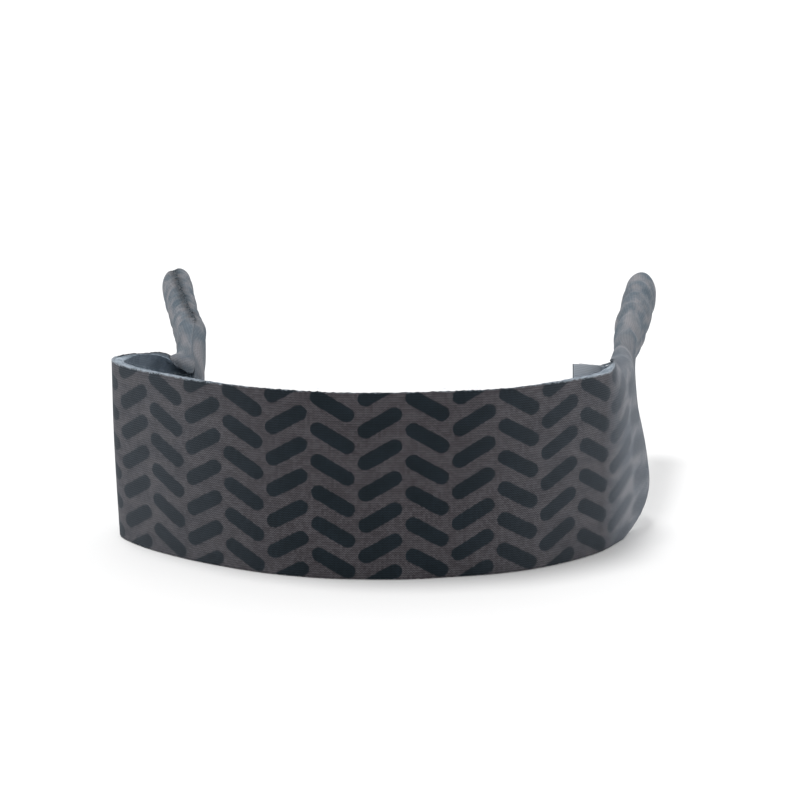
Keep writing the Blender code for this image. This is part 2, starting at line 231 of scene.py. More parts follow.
class Laminate:
    """A curved sheet through sections, with creases, sewn edges and a thickness that varies."""

    def __init__(self, stations, thickness, crease=None, sewn=None):
        self.stations = np.asarray(stations, dtype=float)
        self.count = self.stations.shape[1]
        self.knots = arc_length(self.stations.mean(axis=1))
        self.thickness = np.asarray(thickness, dtype=float)
        self.crease = crease
        self.sewn = sewn

    def base(self, along, across):
        """Points on the middle of the wall before sewing and creasing."""
        flat = self.stations.reshape(len(self.knots), -1)
        rows = spline(self.knots, flat, along).reshape(len(along), self.count, 3)
        columns = rows.transpose(1, 0, 2).reshape(self.count, -1)
        grid = spline(np.linspace(0.0, 1.0, self.count), columns, across)
        return grid.reshape(len(across), len(along), 3).transpose(1, 0, 2)

    def facing(self, along, across):
        """Unit normals to the printed side. The two edges of a sewn seam share one direction."""
        ahead = self.base(along + 0.05, across) - self.base(along - 0.05, across)
        upward = self.base(along, across + 0.002) - self.base(along, across - 0.002)
        normals = unit(np.cross(ahead, upward))
        if self.sewn is not None:
            seam = unit(normals[:, :1] + normals[:, -1:])
            width = self.widths(along)[:, None]
            reach = np.minimum(across, 1.0 - across)[None, :] * width
            share = self.sewn(along)[:, None] * np.exp(-((reach / SEAM_GROOVE_WIDTH) ** 2))
            normals = unit(normals + (seam - normals) * share[:, :, None])
        return normals

    def middle(self, along, across):
        """Points on the middle of the wall, with its sewn edges drawn together."""
        points = self.base(along, across)
        if self.sewn is None:
            return points
        gap = points[:, -1] - points[:, 0]
        size = np.linalg.norm(gap, axis=1)
        pull = 0.5 * (1.0 - np.minimum(SEAM_GAP / np.maximum(size, 1e-6), 1.0)) * self.sewn(along)
        width = self.widths(along)[:, None]
        low = np.exp(-((across[None, :] * width / SEAM_DRAWN_WIDTH) ** 2))
        high = np.exp(-(((1.0 - across[None, :]) * width / SEAM_DRAWN_WIDTH) ** 2))
        return points + (gap * pull[:, None])[:, None, :] * (low - high)[:, :, None]

    def depth(self, along, across, share):
        """Points at a share of the thickness below the printed surface, kept off the floor."""
        thickness = np.interp(along, self.knots, self.thickness)[:, None, None]
        shift = thickness * (0.5 - share)
        if self.crease is not None:
            shift = shift + self.crease(along, across)[:, :, None]
        points = self.middle(along, across) + self.facing(along, across) * shift
        points[:, :, 2] = np.maximum(points[:, :, 2], 0.0)
        return points

    def widths(self, along):
        """Width of the wall, cut edge to cut edge, at each place along it."""
        rows = self.base(along, np.linspace(0.0, 1.0, 25))
        return np.linalg.norm(np.diff(rows, axis=1), axis=2).sum(axis=1)


def unit(vectors):
    """The vectors at length 1."""
    return vectors / np.maximum(np.linalg.norm(vectors, axis=-1, keepdims=True), 1e-9)


STATIONS = strap_stations()
WALLS = wall_thickness()
plain = Laminate(STATIONS, WALLS)
LENGTH = plain.knots[-1]
LEFT_NECK = plain.knots[len(LEFT_SLEEVE) - 1]
RIGHT_NECK = plain.knots[-len(RIGHT_SLEEVE)]
LEFT_FOLD = plain.knots[len(LEFT_SLEEVE) + len(LEFT_END)]
RIGHT_FOLD = plain.knots[-len(RIGHT_SLEEVE) - len(RIGHT_END) - 1]
LEFT_CLOSE = plain.knots[len(LEFT_SLEEVE) + 1]
RIGHT_CLOSE = plain.knots[-len(RIGHT_SLEEVE) - 1]
ALONG_TABLE = np.linspace(0.0, LENGTH, 400)
WIDTH_TABLE = plain.widths(ALONG_TABLE)


def seam_depth(along):
    """1 where a sleeve's seam is pulled in hard, and 0 near the necks, where it runs out smooth."""
    left = 1.0 - smooth(LEFT_NECK - 9.0, LEFT_NECK + 3.0, along)
    return left + smooth(RIGHT_NECK - 3.0, RIGHT_NECK + 9.0, along)


def strap_crease(along, across):
    """How far the wall is pushed out, in millimetres: sleeve puckers, neck folds and slack."""
    s = along[:, None]
    t = across[None, :]
    width = np.interp(along, ALONG_TABLE, WIDTH_TABLE)[:, None]
    seam = np.minimum(t, 1.0 - t) * width
    left = 1.0 - smooth(LEFT_NECK + 2.0, LEFT_NECK + 12.0, s)
    right = smooth(RIGHT_NECK - 8.0, RIGHT_NECK - 1.0, s)
    from_mouth = np.minimum(s, LENGTH - s)
    firm = smooth(0.0, 7.0, from_mouth) * (0.35 + 0.65 * seam_depth(along)[:, None])

    pucker = np.sin(TURN * s / 3.3 + 1.3 * np.sin(TURN * s / 15.0))
    pucker = pucker * np.exp(-((seam - 1.6) / 2.4) ** 2) * 0.22 * seam_depth(along)[:, None]
    groove = -0.62 * np.exp(-((seam / 1.0) ** 2)) * seam_depth(along)[:, None]
    groove = groove * (1.0 + 0.5 * np.exp(-from_mouth / 5.0))
    ripple = np.sin(TURN * (s / 8.7 + 0.30 * np.sin(TURN * t) + 0.12 * np.sin(TURN * s / 23.0)))
    slant = np.sin(TURN * (s / 5.6 - 1.6 * t) + 0.8)
    left_part = pucker + groove + firm * (0.20 * ripple + 0.12 * slant) - 0.12

    slack = np.sin(TURN * (s / 10.4 + 0.22 * np.sin(TURN * (t + 0.2))) + 0.6)
    cross = np.sin(TURN * (s / 6.3 + 1.3 * t) + 2.0)
    pinch = -0.60 * np.exp(-(((s - RIGHT_NECK - 1.0) / 6.0) ** 2))
    right_part = 0.7 * pucker + groove + firm * (0.42 * slack + 0.14 * cross) + pinch

    left_neck = np.exp(-(((s - LEFT_NECK - 6.0) / 7.0) ** 2)) * (width < 40.0)
    right_neck = np.exp(-(((s - RIGHT_NECK + 6.0) / 8.0) ** 2)) * (width < 40.0)
    gather = 0.16 * np.sin(TURN * (3.0 * t + s / 30.0)) * (left_neck + right_neck)

    edge = (2.0 * t - 1.0) ** 3
    band = (1.0 - left) * (1.0 - right)
    sway = band * (0.10 * np.sin(TURN * s / 31.0 + 0.5) * edge + 0.05 * np.sin(TURN * (s / 17.0 + t)))
    return left * left_part + right * right_part + gather + sway


def sewn_share(along):
    """1 where the two cut edges are sewn to each other, 0 where the strap is open."""
    left = 1.0 - smooth(LEFT_CLOSE - 2.0, LEFT_CLOSE + 2.5, along)
    right = smooth(RIGHT_CLOSE + 0.5, RIGHT_CLOSE + 5.0, along)
    return left + right


strap = Laminate(STATIONS, WALLS, strap_crease, sewn_share)
lip = Laminate([respaced(row, COLUMNS) - PLAN_SHIFT for row in RIGHT_LIP], LIP_THICKNESS)

# ---------------------------------------------------------------- the printed pattern
# A plain herringbone of short rounded dashes. Each cell of the print holds one that rises and one that falls.
CELL_A = np.array([21.0, 0.0])
CELL_B = np.array([0.0, -7.4])
DASHES = [((-3.2, -1.9), (3.2, 1.9)), ((7.3, -1.8), (13.7, -5.6))]
DASH_HALF_WIDTH = 1.75


def print_distance(u, v):
    """Distance in millimetres from each point of the cloth to the nearest dash's edge, below 0 inside it."""
    cell = np.column_stack([CELL_A, CELL_B])
    place = np.stack([u, v], axis=-1).reshape(-1, 2)
    local = np.linalg.solve(cell, place.T).T
    place = (local - np.floor(local)) @ cell.T
    nearest = np.full(len(place), 50.0)
    for start, end in DASHES:
        for i in range(-2, 3):
            for j in range(-2, 3):
                first = np.array(start) + i * CELL_A + j * CELL_B
                run = np.array(end) - np.array(start)
                share = np.clip((place - first) @ run / (run @ run), 0.0, 1.0)
                gap = np.linalg.norm(place - first - share[:, None] * run, axis=1)
                nearest = np.minimum(nearest, gap - DASH_HALF_WIDTH)
    return nearest.reshape(u.shape)


# ---------------------------------------------------------------- materials
KNIT_WIDTH = 0.58
KNIT_HEIGHT = 0.56


class Graph:
    """A small helper that writes a material's node maths as short calls."""

    def __init__(self, name, roughness):
        self.material = bpy.data.materials.new(name)
        self.material.use_nodes = True
        self.tree = self.material.node_tree
        self.shader = self.tree.nodes["Principled BSDF"]
        self.shader.inputs["Roughness"].default_value = roughness
        self.shader.inputs["Specular IOR Level"].default_value = 0.12

    def node(self, kind, inputs=None, **settings):
        made = self.tree.nodes.new(kind)
        for key, value in settings.items():
            setattr(made, key, value)
        for key, value in (inputs or {}).items():
            self.put(value, made.inputs[key])
        return made

    def put(self, value, socket):
        if isinstance(value, bpy.types.NodeSocket):
            self.tree.links.new(value, socket)
        else:
            socket.default_value = value

    def maths(self, operation, a, b=0.0, c=0.0):
        made = self.node("ShaderNodeMath", operation=operation)
        self.put(a, made.inputs[0])
        if operation not in ("SINE", "FRACT", "FLOOR", "ABSOLUTE"):
            self.put(b, made.inputs[1])
        if operation == "MULTIPLY_ADD":
            self.put(c, made.inputs[2])
        return made.outputs[0]

    def ramp(self, value, low, high, first=0.0, last=1.0):
        made = self.node("ShaderNodeMapRange", interpolation_type="SMOOTHSTEP")
        self.put(value, made.inputs["Value"])
        for key, number in (("From Min", low), ("From Max", high), ("To Min", first), ("To Max", last)):
            made.inputs[key].default_value = number
        return made.outputs["Result"]

    def mix(self, share, a, b, blend="MIX"):
        made = self.node("ShaderNodeMix", data_type="RGBA", blend_type=blend)
        self.put(share, made.inputs["Factor"])
        self.put(a, made.inputs[6])
        self.put(b, made.inputs[7])
        return made.outputs[2]

    def noise(self, where, scale, detail=2.0, roughness=0.5):
        made = self.node("ShaderNodeTexNoise", {"Scale": scale, "Detail": detail, "Roughness": roughness})
        self.put(where, made.inputs["Vector"])
        return made.outputs["Fac"]

    def attribute(self, name):
        return self.node("ShaderNodeAttribute", attribute_name=name).outputs["Fac"]

    def bump(self, height, distance, strength, under=None):
        made = self.node("ShaderNodeBump", {"Height": height, "Distance": distance, "Strength": strength})
        if under is not None:
            self.put(under, made.inputs["Normal"])
        return made.outputs["Normal"]


def cloth_place(graph):
    """(u, v, vector) of a point on the cloth, in millimetres, and its place in space."""
    flat = graph.node("ShaderNodeUVMap", uv_map="cloth_mm")
    parts = graph.node("ShaderNodeSeparateXYZ", {"Vector": flat.outputs["UV"]})
    space = graph.node("ShaderNodeTexCoord")
    return parts.outputs["X"], parts.outputs["Y"], flat.outputs["UV"], space.outputs["Object"]


def knit(graph, u, v):
    """Height of a plain jersey's V-shaped stitches, and a random number for each stitch."""
    column = graph.maths("DIVIDE", u, KNIT_WIDTH)
    offset = graph.maths("ABSOLUTE", graph.maths("SUBTRACT", graph.maths("FRACT", column), 0.5))
    row = graph.maths("MULTIPLY_ADD", offset, 1.1, graph.maths("DIVIDE", v, KNIT_HEIGHT))
    loop = graph.maths("SINE", graph.maths("MULTIPLY", row, TURN))
    loop = graph.maths("MULTIPLY_ADD", loop, 0.5, 0.5)
    from_leg = graph.maths("ABSOLUTE", graph.maths("SUBTRACT", offset, 0.25))
    rib = graph.maths("MULTIPLY", graph.maths("SUBTRACT", 0.25, from_leg), 4.0)
    height = graph.maths("MULTIPLY_ADD", rib, 0.55, graph.maths("MULTIPLY", loop, 0.45))
    cell = graph.node("ShaderNodeCombineXYZ",
                      {"X": graph.maths("FLOOR", column), "Y": graph.maths("FLOOR", row)})
    speckle = graph.node("ShaderNodeTexWhiteNoise", {"Vector": cell.outputs[0]}, noise_dimensions="2D")
    return height, speckle.outputs["Value"]


def colour(red, green, blue):
    """A linear colour from everyday 0-255 values."""
    out = []
    for value in (red, green, blue):
        x = value / 255.0
        out.append(x / 12.92 if x <= 0.04045 else ((x + 0.055) / 1.055) ** 2.4)
    return (*out, 1.0)


def soft_sheen(graph, weight, roughness, tint):
    graph.shader.inputs["Sheen Weight"].default_value = weight
    graph.shader.inputs["Sheen Roughness"].default_value = roughness
    graph.shader.inputs["Sheen Tint"].default_value = tint


def shade(graph, tone, share):
    """A colour multiplied by a grey share."""
    grey = graph.node("ShaderNodeCombineColor", {"Red": share, "Green": share, "Blue": share}).outputs[0]
    return graph.mix(1.0, tone, grey, "MULTIPLY")


def cloth_finish(graph, tone, height, speckle, space, edge_tone, smoothness):
    """Painted shade in the stitch hollows and painted highlight on the stitch tops, pale specks along a raw
    upper edge, and the fine relief of the cloth.
    """
    # Painted shade and highlight: the colour is darkened in the knit's hollows and lightened on its raised
    # stitches.
    painted_stitch_shade = graph.maths("MULTIPLY", graph.ramp(height, 0.10, 0.80, 0.25, 1.30),
                         graph.ramp(speckle, 0.0, 1.0, 0.90, 1.06))
    plain_share = graph.maths("MULTIPLY", smoothness, 0.72)
    painted_stitch_shade = graph.maths("MULTIPLY_ADD", painted_stitch_shade, graph.maths("SUBTRACT", 1.0, plain_share), plain_share)
    shaded = shade(graph, tone, painted_stitch_shade)
    specks = graph.noise(space, 2300.0, 2.0, 0.6)
    raw = graph.maths("MULTIPLY_ADD", specks, 1.5, graph.attribute("cut_edge"))
    worn = graph.mix(graph.ramp(raw, 0.45, 0.85, 0.9, 0.0), shaded, edge_tone)
    graph.put(worn, graph.shader.inputs["Base Color"])
    fibres = graph.noise(space, 2600.0, 2.0, 0.7)
    relief = graph.bump(fibres, 0.00006, 0.35, graph.bump(height, 0.00010, 0.8))
    graph.put(relief, graph.shader.inputs["Normal"])


def printed_jersey():
    """Brownish grey jersey with dark teal dashes, which pale where the cloth is stretched and where painted
    sheen lightens the right fold and the band's sides.
    """
    graph = Graph("printed_jersey", 0.86)
    u, v, flat, space = cloth_place(graph)
    height, speckle = knit(graph, u, v)
    pale_and_painted_light = graph.attribute("pale_and_painted_light")
    sleeve = graph.attribute("stretch")
    edge = graph.attribute("print_edge")
    crisp = graph.ramp(graph.maths("MULTIPLY_ADD", graph.maths("SUBTRACT", speckle, 0.5), 0.14, edge),
                       -0.20, 0.20, 1.0, 0.0)
    soft = graph.maths("MULTIPLY", graph.ramp(edge, -1.0, 1.3, 0.85, 0.0), graph.maths(
        "SUBTRACT", 1.0, graph.maths("MULTIPLY", sleeve, 0.55)))
    ink = graph.maths("ADD", graph.maths("MULTIPLY", crisp, graph.maths("SUBTRACT", 1.0, pale_and_painted_light)),
                      graph.maths("MULTIPLY", soft, pale_and_painted_light))
    cloudy = graph.ramp(graph.noise(flat, 0.13, 3.0, 0.55), 0.3, 0.7)
    drawn = graph.node("ShaderNodeCombineXYZ", {"X": graph.maths("MULTIPLY", u, 0.5), "Y": v}).outputs[0]
    patches = graph.ramp(graph.noise(drawn, 0.26, 3.0, 0.6), 0.36, 0.64)
    ground = graph.mix(cloudy, colour(70, 67, 71), colour(76, 73, 77))
    ink_tone = graph.mix(cloudy, colour(27, 36, 42), colour(32, 41, 48))
    # The pale colours serve two causes: stretched print in the necks and sleeves, and painted sheen at the
    # right fold and over the band's sides.
    pale_and_sheen_ground = graph.mix(sleeve, graph.mix(patches, colour(118, 124, 132), colour(143, 145, 150)),
                            graph.mix(patches, colour(102, 112, 121), colour(138, 138, 142)))
    pale_and_sheen_ink = graph.mix(sleeve, colour(103, 109, 117),
                         graph.mix(patches, colour(80, 95, 105), colour(106, 114, 120)))
    ground_pale_and_sheen = graph.mix(pale_and_painted_light, ground, pale_and_sheen_ground)
    dark = graph.mix(pale_and_painted_light, ink_tone, pale_and_sheen_ink)
    dyed = graph.mix(ink, ground_pale_and_sheen, dark)
    fleck = graph.maths("MULTIPLY", graph.ramp(speckle, 0.0, 1.0, 0.0, 0.06), graph.maths("SUBTRACT", 1.0, ink))
    heather = graph.mix(fleck, dyed, colour(150, 150, 156))
    # Painted shade: the colour is darkened along the sewn seam's groove.
    sewn = shade(graph, heather, graph.ramp(graph.attribute("seam"), 0.0, 1.0, 1.0, 0.42))
    cloth_finish(graph, sewn, height, speckle, space, colour(156, 165, 174), pale_and_painted_light)
    soft_sheen(graph, 0.14, 0.35, colour(190, 196, 205))
    return graph.material


def lining_jersey():
    """Plain slate jersey on the inside, with a painted lit copy on the right flap."""
    graph = Graph("lining_jersey", 0.88)
    u, v, flat, space = cloth_place(graph)
    height, speckle = knit(graph, u, v)
    cloudy = graph.ramp(graph.noise(flat, 0.16, 3.0, 0.6), 0.3, 0.7)
    base = graph.mix(cloudy, colour(114, 126, 138), colour(126, 137, 149))
    # Painted light: on the right flap the lining is mixed to a much lighter colour, standing in for the light
    # that falls on it.
    lit = graph.mix(graph.attribute("pale_and_painted_light"), base, colour(226, 231, 237))
    heather = graph.mix(graph.ramp(speckle, 0.0, 1.0, 0.0, 0.16), lit, colour(166, 178, 190))
    cloth_finish(graph, heather, height, speckle, space, colour(150, 160, 170), 0.75)
    soft_sheen(graph, 0.20, 0.40, colour(190, 198, 208))
    return graph.material


def cut_foam():
    """Pale blue grey foam with fine cells, as a knife leaves it, with painted shade in the cells and where the
    edge rolls over.
    """
    graph = Graph("cut_foam", 0.93)
    space = graph.node("ShaderNodeTexCoord").outputs["Object"]
    cells = graph.node("ShaderNodeTexVoronoi", {"Scale": 3400.0, "Vector": space}, feature="F1")
    pores = graph.ramp(cells.outputs["Distance"], 0.08, 0.62)
    patches = graph.ramp(graph.noise(space, 420.0, 3.0, 0.6), 0.34, 0.66)
    base = graph.mix(patches, colour(108, 120, 132), colour(168, 179, 189))
    # Painted shade: the foam is darkened where the upper edge rolls over and over the whole flap.
    painted_edge_shade = graph.mix(graph.attribute("painted_edge_shade"), base, colour(70, 79, 87))
    # Painted shade: the colour is darkened in the middle of each foam cell.
    graph.put(graph.mix(graph.ramp(pores, 0.0, 1.0, 0.55, 0.0), painted_edge_shade, colour(78, 88, 98)),
              graph.shader.inputs["Base Color"])
    graph.put(graph.bump(pores, 0.00012, 0.6), graph.shader.inputs["Normal"])
    soft_sheen(graph, 0.3, 0.5, colour(215, 222, 230))
    return graph.material


def seam_thread():
    """Twisted polyester thread, with painted shade in the grooves of its twist."""
    graph = Graph("seam_thread", 0.62)
    flat = graph.node("ShaderNodeUVMap", uv_map="cloth_mm")
    parts = graph.node("ShaderNodeSeparateXYZ", {"Vector": flat.outputs["UV"]})
    lay = graph.maths("ADD", graph.maths("MULTIPLY", parts.outputs["X"], 2.6), parts.outputs["Y"])
    twist = graph.maths("SINE", graph.maths("MULTIPLY", lay, TURN))
    height = graph.maths("MULTIPLY_ADD", twist, 0.5, 0.5)
    # Painted shade and highlight: darker in the twist's grooves, lighter on its ridges.
    graph.put(graph.mix(height, colour(62, 72, 80), colour(96, 106, 114)), graph.shader.inputs["Base Color"])
    graph.put(graph.bump(height, 0.00005, 0.6), graph.shader.inputs["Normal"])
    soft_sheen(graph, 0.3, 0.4, colour(200, 206, 214))
    return graph.material


def loose_fibre():
    """The pale fuzz that stands along a cut edge."""
    graph = Graph("loose_fibre", 0.9)
    space = graph.node("ShaderNodeTexCoord").outputs["Object"]
    tone = graph.ramp(graph.noise(space, 900.0, 1.0), 0.35, 0.65)
    graph.put(graph.mix(tone, colour(140, 156, 172), colour(196, 208, 220)), graph.shader.inputs["Base Color"])
    soft_sheen(graph, 0.5, 0.4, colour(225, 230, 236))
    return graph.material


JERSEY = printed_jersey()
LINING = lining_jersey()
FOAM = cut_foam()
THREAD = seam_thread()
FIBRE = loose_fibre()

PLIES = {
    "printed_face": (0.0, JERSEY_SHARE, JERSEY, "printed_jersey"),
    "foam_core": (JERSEY_SHARE + PLY_GAP, 1.0 - JERSEY_SHARE - PLY_GAP, FOAM, "foam_core"),
    "lining": (1.0 - JERSEY_SHARE, 1.0, LINING, "lining_jersey"),
}

# ---------------------------------------------------------------- making the cloth
LEFT_CUT = 88.0
LEFT_TURN = 128.0
RIGHT_TURN = 207.0
RIGHT_CUT = 248.0
STITCH_PITCH = 1.3
STITCH_HALF_SPAN = 0.42
STITCH_LIFT = 0.10
STITCH_DIP = 0.10
THREAD_RADIUS = 0.10
THREAD_STEP = 0.16
THREAD_SIDES = 8
FUZZ_PER_MM = 9.0
FUZZ_LENGTH = 0.26
FUZZ_RADIUS = 0.016
FUZZ_DEPTHS = [0.02, 0.1, 0.18, 0.3, 0.5, 0.7, 0.82, 0.9, 0.98]
FUZZ_SEED = 11
WAVES = [(0.9, 0.30), (1.7, 0.35), (3.1, 0.30), (6.7, 0.25)]
PHASES = RNG.uniform(0.0, TURN, (8, len(WAVES)))


def unevenness(along, row):
    """A gentle random line between about -1 and 1, the same every run."""
    total = np.zeros_like(along)
    for (length, size), phase in zip(WAVES, PHASES[row]):
        total += size * np.sin(TURN * along / length + phase)
    return total


def surface_normals(points):
    """Normals of a grid of points that has one spare row at each end along it."""
    ahead = np.gradient(points, axis=0)
    upward = np.gradient(points, axis=1)
    return unit(np.cross(ahead, upward))[1:-1]


def new_piece(name, points, faces, material):
    """A mesh object from points in millimetres."""
    mesh = bpy.data.meshes.new(name)
    mesh.from_pydata((points * MM).tolist(), [], [list(face) for face in faces])
    mesh.materials.append(material)
    mesh.polygons.foreach_set("use_smooth", [True] * len(mesh.polygons))
    piece = bpy.data.objects.new(name, mesh)
    bpy.context.scene.collection.objects.link(piece)
    return piece


def put_values(mesh, name, values):
    attribute = mesh.attributes.new(name, "FLOAT", "POINT")
    attribute.data.foreach_set("value", np.asarray(values, dtype=np.float32))


def put_cloth_map(mesh, flat):
    """Write each point's place on the flat cloth, in millimetres, as a UV map."""
    corners = np.zeros(len(mesh.loops), dtype=np.int64)
    mesh.loops.foreach_get("vertex_index", corners)
    layer = mesh.uv_layers.new(name="cloth_mm")
    layer.data.foreach_set("uv", flat[corners].astype(np.float32).ravel())


def grid_faces(rows, columns, first, flip):
    """Quads between neighbouring points of a grid."""
    i, j = np.meshgrid(np.arange(rows - 1), np.arange(columns - 1), indexing="ij")
    a = (first + i * columns + j).ravel()
    quads = np.column_stack([a, a + columns, a + columns + 1, a + 1])
    return quads[:, ::-1] if flip else quads


def sheet_flat(laminate, along, across):
    """Where each point of a grid lies on the flat cloth, in millimetres."""
    width = laminate.widths(along)[:, None]
    u = np.repeat(along[:, None], len(across), axis=1)
    v = (across[None, :] - 0.5) * width + BAND_HEIGHT / 2.0
    return u, v


def paling_and_painted_light(along):
    """How far the print has paled, from 0 to 1: in the necks and in the sleeves, where the cloth is stretched,
    and at the right fold and over the band's two sides, where the paling is painted sheen.
    """
    left = 1.0 - smooth(LEFT_NECK + 6.0, LEFT_NECK + 28.0, along)
    # From the right fold on: painted sheen on the turned fold, then stretched print in the neck and sleeve.
    right = smooth(RIGHT_FOLD - 6.0, RIGHT_FOLD + 12.0, along)
    # Painted sheen: both sides of the band are paled a little to stand in for the light they catch.
    painted_side_sheen = 0.24 * (1.0 - smooth(LEFT_FOLD + 4.0, LEFT_FOLD + 56.0, along))
    painted_side_sheen = painted_side_sheen + 0.20 * smooth(RIGHT_FOLD - 46.0, RIGHT_FOLD - 4.0, along)
    return np.maximum(np.maximum(left, right), painted_side_sheen)


def rolled_over(along):
    """1 where the upper cut edge turns away, loses its bevel and gets painted shade on its foam, 0 where the
    foam shows pale.
    """
    left = 1.0 - smooth(LEFT_FOLD - 16.0, LEFT_FOLD - 9.0, along)
    right = smooth(RIGHT_FOLD + 8.0, RIGHT_FOLD + 16.0, along)
    return np.maximum(left, right)


def worn_edge(along):
    """How much paler the upper cut edge is at the two side folds than over the band's middle."""
    left = 1.0 - smooth(LEFT_FOLD + 16.0, LEFT_FOLD + 38.0, along)
    return np.maximum(left, smooth(RIGHT_FOLD - 28.0, RIGHT_FOLD - 6.0, along))


def bevel(along, share):
    """How far the upper edge is cut below the top, in millimetres, at a depth in the laminate.

    The lining is the lower side round the band, and the printed side at the left neck.
    """
    front = (0.80 - 0.28 * worn_edge(along)) * (1.0 - rolled_over(along)) * share**0.7
    back = smooth(LEFT_CLOSE, LEFT_CLOSE + 6.0, along)
    back = back * (1.0 - smooth(LEFT_FOLD - 22.0, LEFT_FOLD - 14.0, along))
    return front + 0.75 * back * (1.0 - share)


def ply_skins(laminate, along, across, shares):
    """Points and normals of a ply's two skins, before its edges are shaped."""
    pitch = along[1] - along[0]
    spread = np.concatenate([[along[0] - pitch], along, [along[-1] + pitch]])
    outer, inner = [laminate.depth(spread, across, share) for share in shares]
    return (outer[1:-1], inner[1:-1]), (surface_normals(outer), -surface_normals(inner))


def shape_edges(skins, shares, laminate, slot, along, reach, open_share):
    """Cut the strap's upper edge at a bevel, and let both cut edges wander a little."""
    frayed = 0.13 if slot != "foam_core" else 0.07
    if laminate is strap:
        sunk = 0.18 * (1.0 - 0.7 * worn_edge(along)) if slot == "foam_core" else 0.0
        for skin, share in zip(skins, shares):
            inward = unit(skin[:, -3] - skin[:, -1])
            drop = (bevel(along, share) + sunk) * open_share
            skin += inward[:, None, :] * (drop[:, None] * reach)[:, :, None]
    for edge, beside, row in ((0, 1, 0), (-1, -2, 2)):
        for k, skin in enumerate(skins):
            outward = unit(skin[:, edge] - skin[:, beside])
            wander = frayed * unevenness(along + 31.0 * k, row + k) * open_share
            skin[:, edge] += outward * wander[:, None]
            skin[:, edge, 2] = np.maximum(skin[:, edge, 2], 0.0)


def rim_walls(points, rows, columns):
    """Quads that close a ply between its skins, and normals of their own that keep its rims crisp."""
    count = rows * columns
    index = np.arange(count).reshape(rows, columns)
    walls = []
    wall_normals = []
    for line, flip in [(index[:, 0], False), (index[:, -1], True), (index[0], True), (index[-1], False)]:
        quads = np.column_stack([line[:-1], line[1:], line[1:] + count, line[:-1] + count])
        if not flip:
            quads = quads[:, ::-1]
        walls.append(quads)
        corners = points[quads]
        facing = unit(np.cross(corners[:, 2] - corners[:, 0], corners[:, 3] - corners[:, 1]))
        at_points = unit(np.concatenate([facing[:1], facing[1:] + facing[:-1], facing[-1:]]))
        first, second = at_points[:-1], at_points[1:]
        wall_normals.append(np.stack([first, second, second, first], axis=1).reshape(-1, 3))
    return walls, wall_normals


def ply_piece(name, laminate, ply, start, end, step):
    """One closed ply of the laminate between two places along it."""
    outer_share, inner_share, material, slot = PLIES[ply]
    shares = (outer_share, inner_share)
    rows = int(round((end - start) / step)) + 1
    columns = int(round(laminate.widths(np.linspace(start, end, 9)).max() / step)) + 1
    along = np.linspace(start, end, rows)
    across = np.linspace(0.0, 1.0, columns)
    width = laminate.widths(along)
    open_share = 1.0 - laminate_sewn(laminate, along)
    skins, normals = ply_skins(laminate, along, across, shares)
    near_top = np.exp(-(1.0 - across)[None, :] * width[:, None] / 2.5)
    shape_edges(skins, shares, laminate, slot, along, near_top, open_share)

    points = np.concatenate([skin.reshape(-1, 3) for skin in skins])
    normals = np.concatenate([part.reshape(-1, 3) for part in normals])
    faces = [grid_faces(rows, columns, 0, False), grid_faces(rows, columns, rows * columns, True)]
    skin_corners = 4 * sum(len(part) for part in faces)
    walls, wall_normals = rim_walls(points, rows, columns)
    piece = new_piece(name, points, np.concatenate(faces + walls), material)
    mesh = piece.data

    # Both skins take the same place on the cloth, and the same values.
    u, v = sheet_flat(laminate, along, across)
    put_cloth_map(mesh, np.tile(np.column_stack([u.ravel(), v.ravel()]), (2, 1)))
    # The flap's foam takes painted shade all over; on the strap it follows the rolled edge.
    shaded_edge_share = rolled_over(along) if laminate is strap else np.ones(rows)
    to_edge = (1.0 - across)[None, :] * width[:, None] + 6.0 * np.maximum(1.0 - open_share, shaded_edge_share)[:, None]
    to_edge = to_edge - 0.10 - 0.16 * worn_edge(along)[:, None]
    put_values(mesh, "cut_edge", np.tile(np.minimum(to_edge, 6.0).ravel(), 2))
    # The mask is 1 all over the flap, which paints its lining lit and its print pale; the strap's lining takes
    # none of it.
    by_row = {"painted_edge_shade": shaded_edge_share, "pale_and_painted_light": paling_and_painted_light(along) if laminate is strap else np.ones(rows)}
    if slot == "lining_jersey" and laminate is strap:
        by_row["pale_and_painted_light"] = np.zeros(rows)
    if slot == "printed_jersey":
        by_row["stretch"] = stretched(along)
        put_values(mesh, "print_edge", np.tile(print_distance(u, v).ravel(), 2))
        # The seam values mark the groove for its painted shade.
        to_seam = np.minimum(across, 1.0 - across)[None, :] * width[:, None]
        groove = np.exp(-((to_seam / SEAM_GROOVE_WIDTH) ** 2))
        groove = groove * ((1.0 - open_share) * seam_depth(along))[:, None]
        put_values(mesh, "seam", np.tile(groove.ravel(), 2))
    for key, values in by_row.items():
        put_values(mesh, key, np.tile(np.repeat(values, columns), 2))

    corner_points = np.zeros(len(mesh.loops), dtype=np.int64)
    mesh.loops.foreach_get("vertex_index", corner_points)
    corner_normals = np.concatenate([normals[corner_points[:skin_corners]]] + wall_normals)
    mesh.update()
    mesh.normals_split_custom_set(corner_normals.tolist())

    return piece


def stretched(along):
    """How far the cloth is stretched by being sewn into a sleeve, from 0 to 1."""
    left = 1.0 - smooth(LEFT_NECK + 2.0, LEFT_NECK + 22.0, along)
    right = smooth(RIGHT_NECK - 32.0, RIGHT_NECK - 10.0, along)
    return left + right


def seam_point(s, side, height):
    """A point beside the seam at a distance to one side of it and a height over the cloth."""
    at = np.array([s])
    share = abs(side) / strap.widths(at)[0]
    across = np.array([share if side >= 0.0 else 1.0 - share])
    return strap.depth(at, across, 0.0)[0, 0] + strap.facing(at, across)[0, 0] * height


